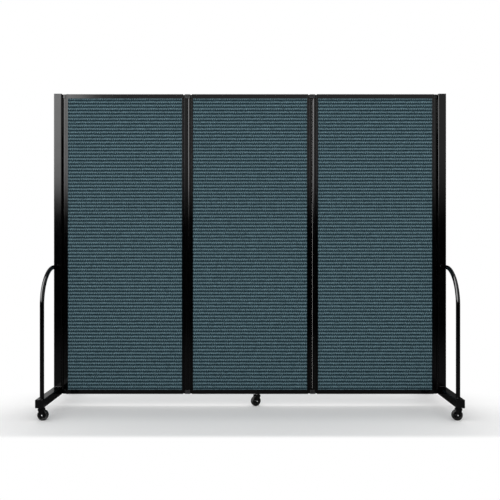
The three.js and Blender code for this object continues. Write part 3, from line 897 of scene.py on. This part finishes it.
for side, sign in (("left", -1), ("right", 1)):
    body = side + "_end_frame"
    x = sign * postX
    addPiece(side + "_post", postMesh, body, move(x, 0, 0))
    addPiece(side + "_post_cap", lidMesh, body, move(x, 0, screen["height"]))
    addPiece(side + "_foot", footMesh, body, move(x, 0, panelBottom))
    addPiece(side + "_foot", weldMesh, body, move(x, 0, 0), suffix="welds", replaced=False)
    for face, turn in (("front", 0.0), ("rear", math.pi)):
        addPiece(side + "_" + face + "_hoop", hoopMesh, body, move(x, 0, 0) @ turnZ(turn))
        tip = move(x, 0, panelBottom + tubeSide / 2) @ turnZ(turn)
        addPiece(side + "_" + face + "_foot_cap", lidMesh, body,
                 tip @ move(0, -endFrame["footLength"] / 2, 0) @ tipX)
    pivot = turnZ(0 if sign > 0 else math.pi)
    high = move(sign * endPivotX, 0, screen["height"] - capHeight) @ pivot
    low = move(sign * endPivotX, 0, panelBottom + capHeight) @ pivot @ flipX
    for bracket, place in (("_post_top_bracket", high), ("_post_bottom_bracket", low)):
        addPiece(side + bracket, bracketMesh, body, place, bevel=hinge["bracketBevel"])
print("end frames built")


caster = {
    "wheelRadius": 0.024,
    "wheelWidth": 0.018,
    "trail": 0.010,
    "legInside": 0.010,
    "legThickness": 0.002,
    "nose": 0.010,
    "tail": 0.007,
    "skirt": 0.0066,
    "boss": 0.007,
    "legTurn": (205, 350),     # where the boss's round starts and ends, in degrees
    "crownCorner": 0.006,
    # inset and drop
    "crown": ((0.0, 0.0034), (0.0, 0.0016), (0.0003, 0.0008), (0.0010, 0.0002), (0.0018, 0.0)),
    "bevel": 0.0004,
    "raceRadius": 0.011,
    "raceHeight": 0.0035,
    # inset, and share of the race's height
    "raceSteps": ((0.0, 0.4), (0.0006, 0.5), (0.0006, 0.62), (0.0002, 0.72), (0.0006, 1.0)),
    "raceSeat": 0.001,
    "stemRadius": 0.005,
    "stemLength": 0.014,
    "stemPoint": 0.001,
    "axleRadius": 0.003,
    "axleHead": 0.005,
    "headHeight": 0.0016,
    "headRim": 0.0004,
    "headSteps": ((0.0, 0.0), (0.35, 0.0), (0.62, 0.0002), (0.84, 0.0006)),   # share of radius, drop
    "tyreDepth": 0.0067,
    "tyreSteps": ((0.0, 0.0015), (0.0004, 0.0004), (0.0012, 0.0001)),   # past the seat, drop
    "treadRound": 0.003,
    "hubRadius": 0.0065,
    "webWidth": 0.008,
    "rimDrop": 0.0015,
    # the wheel's profile: past the hub, short of the rim, and down from the end or up from the web
    "hubSteps": ((-0.0006, 0.0), (0.0, 0.0006)),
    "hubFoot": ((0.0003, 0.0010), (0.0012, 0.0)),
    "rimFoot": ((0.0036, 0.0), (0.0026, 0.0008)),
    "rimSteps": ((0.0021, 0.0004), (0.0017, 0.0), (0.0004, 0.0), (0.0, 0.0004)),
    "wheelSides": 72,
    "spokes": 6,
    "spokeInset": (0.0008, 0.0018),
    "spokeWidth": 0.0016,
    "spokeRoot": 0.0005,
    "spokeDrop": 0.0028,
    "spokeTurn": 0.3,
}
forkTop = panelBottom - seatGap - caster["raceHeight"]


# a leg's outline from the side: straight skirt, then drawn in to the round boss at the axle
def legOutline():
    low, tail = forkTop - caster["skirt"], caster["trail"] + caster["tail"]
    start, end = (math.radians(angle) for angle in caster["legTurn"])
    boss = arcPoints(caster["trail"], caster["wheelRadius"], caster["boss"], start, end, 14)
    return [(tail, forkTop), (-caster["nose"], forkTop), (-caster["nose"], low)] + boss + [(tail, low)]


# two legs under a crowned top, with the race and the stem above
def buildFork(mesh):
    inside, thick = caster["legInside"], caster["legThickness"]
    for y in (-inside, inside + thick):
        addBar(mesh, legOutline(), 0, thick, move(0, y, 0) @ tipX)
    length = caster["nose"] + caster["trail"] + caster["tail"]
    crown = [(inset, forkTop - drop) for inset, drop in caster["crown"]]
    middle = length / 2 - caster["nose"]
    addCrowned(mesh, length, 2 * (inside + thick), caster["crownCorner"], crown, 8, middle)
    race, height, seat = caster["raceRadius"], caster["raceHeight"], forkTop - caster["raceSeat"]
    profile = [(0, seat), (race, seat)]
    profile += [(race - inset, forkTop + share * height) for inset, share in caster["raceSteps"]]
    addTurned(mesh, profile + [(0, forkTop + height)], 40)
    stem, point = caster["stemRadius"], caster["stemPoint"]
    top = panelBottom + caster["stemLength"]
    addTurned(mesh, [(0, forkTop), (stem, forkTop), (stem, top - point), (stem - point, top), (0, top)], 24)


onAxle = Matrix.Rotation(-math.pi / 2, 4, "X")


def buildTyre(mesh):
    radius, half, rounding = caster["wheelRadius"], caster["wheelWidth"] / 2, caster["treadRound"]
    seat = radius - caster["tyreDepth"]
    profile = [(seat + past, half - drop) for past, drop in caster["tyreSteps"]]
    profile += reversed(arcPoints(radius - rounding, half - rounding, rounding, 0, math.pi / 2, 8))
    addTurned(mesh, mirrored(profile), caster["wheelSides"], onAxle, closed=True)


# hub, recessed web and rim, with spokes in the recess on each side
def buildWheel(mesh):
    rim = caster["wheelRadius"] - caster["tyreDepth"] - seatGap
    half, hub, web = caster["wheelWidth"] / 2, caster["hubRadius"], caster["webWidth"] / 2
    bore, lip = caster["axleRadius"] + seatGap, half - caster["rimDrop"]
    profile = [(bore, half)]
    profile += [(hub + past, half - drop) for past, drop in caster["hubSteps"]]
    profile += [(hub + past, web + rise) for past, rise in caster["hubFoot"]]
    profile += [(rim - short, web + rise) for short, rise in caster["rimFoot"]]
    profile += [(rim - short, lip - drop) for short, drop in caster["rimSteps"]]
    addTurned(mesh, mirrored(profile), caster["wheelSides"], onAxle, closed=True)
    start, end = hub - caster["spokeInset"][0], rim - caster["spokeInset"][1]
    for k in range(caster["spokes"]):
        spoke = onAxle @ turnZ(2 * math.pi * k / caster["spokes"] + caster["spokeTurn"])
        for sign in (-1, 1):
            low, high = sorted((sign * (web - caster["spokeRoot"]), sign * (half - caster["spokeDrop"])))
            addBar(mesh, stripOutline(start, end, caster["spokeWidth"]), low, high, spoke)


def buildAxle(mesh):
    inner = caster["legInside"] + caster["legThickness"] + seatGap
    head, outer = caster["axleHead"], inner + caster["headHeight"]
    profile = [(share * head, outer - drop) for share, drop in caster["headSteps"]]
    profile += [(head, inner + caster["headRim"]), (head, inner), (caster["axleRadius"], inner)]
    addTurned(mesh, mirrored(profile), 40, onAxle)


forkMesh = makeMesh("forkShape", buildFork, frameBlack)
tyreMesh = makeMesh("tyreShape", buildTyre, tyreBlack)
wheelMesh = makeMesh("wheelShape", buildWheel, wheelBlack)
axleMesh = makeMesh("axleShape", buildAxle, axleSteel)

# where each caster stands, and which way it trails
casters = {
    "left_front": (-postX, -endFrame["casterReach"], 0.0),
    "left_rear": (-postX, endFrame["casterReach"], -math.pi / 2),
    "right_front": (postX, -endFrame["casterReach"], math.pi),
    "right_rear": (postX, endFrame["casterReach"], -math.pi / 2),
    "centre": (0.037, 0.0, math.radians(210)),
}
for name, (x, y, direction) in casters.items():
    swivel = move(x, y, 0) @ turnZ(direction)
    hub = swivel @ move(caster["trail"], 0, caster["wheelRadius"])
    part = name + "_caster_"
    addPiece(part + "fork", forkMesh, name + "_swivel", swivel, bevel=caster["bevel"])
    addPiece(part + "axle", axleMesh, name + "_swivel", hub)
    addPiece(part + "wheel", wheelMesh, name + "_wheel", hub)
    addPiece(part + "tyre", tyreMesh, name + "_wheel", hub)
print("casters built")


studio = {
    "floorSize": 14.0,
    "floorColour": (0.96, 0.96, 0.96),
    # painted shadow: just in front of the screen the floor's colour is darker, between these Y and as far to
    # each side as this
    "paintedShadowColour": (0.845, 0.845, 0.845),
    "frontFrom": (-0.33, -0.15),
    "frontTo": (-0.02, 0.0),
    "frontHalf": (0.75, 0.95),
    # round a point in front it turns plain white, further out along the screen than across it
    "whiteCentre": 0.2,
    "whiteStretch": 2.2,
    "whiteFrom": (0.46, 0.75),
    "whiteEdge": (-0.530, -0.475),   # and before these Y
    "behindFrom": (-0.005, 0.01),    # painted light: from here back the shade is weaker, as a share of plain white is mixed in
    "behindShade": 0.75,
    "shadowReach": 0.3,              # but it keeps the shadow of whatever stands this near
    "shadowShare": (0.70, 0.93),
    "shadowSamples": 8,
    # what the gloss sees of the floor in front and behind, up to these distances
    "floorGlow": (0.10, 0.022),
    "glowTurn": (-0.05, 0.05),
    "glowFade": (0.6, 3.4),
}


def makeFloor():
    half = studio["floorSize"] / 2
    corners = [(-half, -half, 0), (half, -half, 0), (half, half, 0), (-half, half, 0)]
    mesh = bpy.data.meshes.new("floorSheet")
    mesh.from_pydata(corners, [], [(0, 1, 2, 3)])
    addObject("floor", mesh)
    material = bpy.data.materials.new("paleFloor")
    mesh.materials.append(material)
    tree = startTree(material)
    output = addNode(tree, "OutputMaterial")
    rays = addNode(tree, "LightPath")
    axes = axesNode(tree, placeNode(tree))
    # where the floor stays shaded: near the screen, and beside anything that stands on it
    across = mathNode(tree, "DIVIDE", axes["X"], studio["whiteStretch"])
    ahead = mathNode(tree, "ADD", axes["Y"], studio["whiteCentre"])
    distance = mathNode(tree, "ADD", product(tree, across, across), product(tree, ahead, ahead))
    distance = mathNode(tree, "SQRT", distance)
    shadow = addNode(tree, "AmbientOcclusion", samples=studio["shadowSamples"])
    shadow.inputs["Distance"].default_value = studio["shadowReach"]
    beside = fadeOut(tree, shadow.outputs["AO"], studio["shadowShare"])
    inside = product(tree, fadeOut(tree, distance, studio["whiteFrom"]),
                     fadeIn(tree, axes["Y"], studio["whiteEdge"]))
    # painted light: behind the screen at least a quarter of the floor is plain white, which lifts its shade
    behind = rangeNode(tree, axes["Y"], *studio["behindFrom"], 1.0, studio["behindShade"])
    shaded = product(tree, mathNode(tree, "MAXIMUM", inside, beside), behind)
    plain = product(tree, mathNode(tree, "SUBTRACT", 1.0, shaded), rays.outputs["Is Camera Ray"])
    # painted shadow: the floor's colour darkens just in front of the screen
    front = product(tree, fadeIn(tree, axes["Y"], studio["frontFrom"]),
                    rangeNode(tree, axes["Y"], *studio["frontTo"], 1.0, 0.0))
    middle = fadeOut(tree, mathNode(tree, "ABSOLUTE", axes["X"]), studio["frontHalf"])
    matt = addNode(tree, "BsdfDiffuse")
    feed(tree, matt.inputs["Color"],
         mixColour(tree, product(tree, front, middle), studio["floorColour"], studio["paintedShadowColour"]))
    white = addNode(tree, "Emission")
    shown = mixShader(tree, plain, matt.outputs["BSDF"], white.outputs["Emission"])
    # the gloss sees it dimly, fading with the distance
    faint = addNode(tree, "Emission")
    glow = rangeNode(tree, axes["Y"], *studio["glowTurn"], *studio["floorGlow"])
    fade = fadeOut(tree, mathNode(tree, "ABSOLUTE", axes["Y"]), studio["glowFade"])
    feed(tree, faint.inputs["Strength"], product(tree, glow, fade))
    feed(tree, output.inputs["Surface"],
         mixShader(tree, rays.outputs["Is Glossy Ray"], shown, faint.outputs["Emission"]))


# the room: plain white light, in which the gloss sees a large soft source on the left
room = {
    "plainStrength": 1.0,
    # all turns are degrees to the left of straight ahead of the screen, minus to the right
    "keyFrom": (13.8, 16.5),
    "keyTo": (70.0, 92.0),
    "keyTurn": (18.0, 42.0),         # brighter towards the side
    "keyRadiance": (5.5, 11.0),
    "fillRadiance": 0.61,            # in front and on the right
    "fillTurn": (40.0, 70.0),
    "fillShare": (1.0, 0.3),
    "leftFrom": (120.0, 150.0),      # behind the screen
    "leftTo": (162.0, 162.7),
    "leftRadiance": 0.55,
    "rightFrom": (-150.0, -110.0),
    "rightRadiance": 0.065,
    # the light comes up over these sines of the height above the horizon
    "keyRise": ((0.0, 0.0), (0.04, 0.002), (0.052, 0.012), (0.073, 0.114), (0.092, 0.44), (0.111, 0.677),
                (0.1305, 0.76), (0.1495, 0.81), (0.187, 0.885), (0.223, 0.96), (0.28, 1.0)),
    "fillRise": ((0.0, 0.0), (0.033, 0.0), (0.052, 0.04), (0.073, 0.244), (0.092, 0.44), (0.111, 0.646),
                 (0.1305, 0.79), (0.1495, 0.90), (0.187, 0.93), (0.28, 1.0)),
    "backRise": ((0.0, 0.0), (0.17, 0.02), (0.19, 1.0), (1.0, 1.0)),
}


# brightness by height, given as (sine, level) pairs
def riseNode(tree, sine, levels):
    rise = addNode(tree, "ValToRGB")
    feed(tree, rise.inputs["Fac"], sine)
    stops = rise.color_ramp.elements
    while len(stops) < len(levels):
        stops.new(0.5)
    for stop, (height, level) in zip(stops, levels):
        stop.position = height
        stop.color = (level, level, level, 1)
    return rise.outputs["Color"]


def makeRoom():
    world = bpy.data.worlds.new("studioRoom")
    bpy.context.scene.world = world
    tree = startTree(world)
    axes = axesNode(tree, addNode(tree, "TexCoord").outputs["Generated"])
    leftwards, forwards = product(tree, axes["X"], -1.0), product(tree, axes["Y"], -1.0)
    turn = product(tree, mathNode(tree, "ARCTAN2", leftwards, forwards), 180 / math.pi)
    sine = mathNode(tree, "MULTIPLY", axes["Z"], 1.0, clamp=True)
    keyShare = product(tree, fadeIn(tree, turn, room["keyFrom"]), fadeOut(tree, turn, room["keyTo"]))
    keyGain = rangeNode(tree, turn, *room["keyTurn"], *room["keyRadiance"], smooth=True)
    keyLight = product(tree, keyShare, keyGain, riseNode(tree, sine, room["keyRise"]))
    left = fadeIn(tree, turn, room["leftFrom"])
    right = fadeOut(tree, turn, room["rightFrom"])
    front = mathNode(tree, "SUBTRACT", 1.0, mathNode(tree, "MAXIMUM", right, left))
    front = product(tree, front, rangeNode(tree, turn, *room["fillTurn"], *room["fillShare"], smooth=True))
    frontOnly = product(tree, mathNode(tree, "SUBTRACT", 1.0, keyShare), front)
    fillLight = product(tree, frontOnly, room["fillRadiance"], riseNode(tree, sine, room["fillRise"]))
    back = product(tree, left, fadeOut(tree, turn, room["leftTo"]), room["leftRadiance"])
    back = mathNode(tree, "MULTIPLY_ADD", right, room["rightRadiance"], back)
    backLight = product(tree, back, riseNode(tree, sine, room["backRise"]))
    plain = addNode(tree, "Background")
    feedAll(tree, plain, {"Strength": room["plainStrength"], "Color": (1, 1, 1, 1)})
    seen = addNode(tree, "Background")
    feed(tree, seen.inputs["Strength"],
         mathNode(tree, "ADD", mathNode(tree, "ADD", keyLight, fillLight), backLight))
    inGloss = addNode(tree, "LightPath").outputs["Is Glossy Ray"]
    output = addNode(tree, "OutputWorld")
    feed(tree, output.inputs["Surface"],
         mixShader(tree, inGloss, plain.outputs["Background"], seen.outputs["Background"]))


view = {
    "distance": 3.0,
    "height": 0.762,
    "lens": 44.05,
    "sensor": 36,
}


def makeCamera():
    lens = bpy.data.cameras.new("frontView")
    lens.lens = view["lens"]
    lens.sensor_width = view["sensor"]
    camera = addObject("frontView", lens)
    camera.location = (0, -view["distance"], view["height"])
    camera.rotation_euler = (math.pi / 2, 0, 0)
    bpy.context.scene.camera = camera


makeFloor()
makeRoom()
makeCamera()
bpy.context.scene.view_settings.view_transform = "Standard"
print("studio ready")
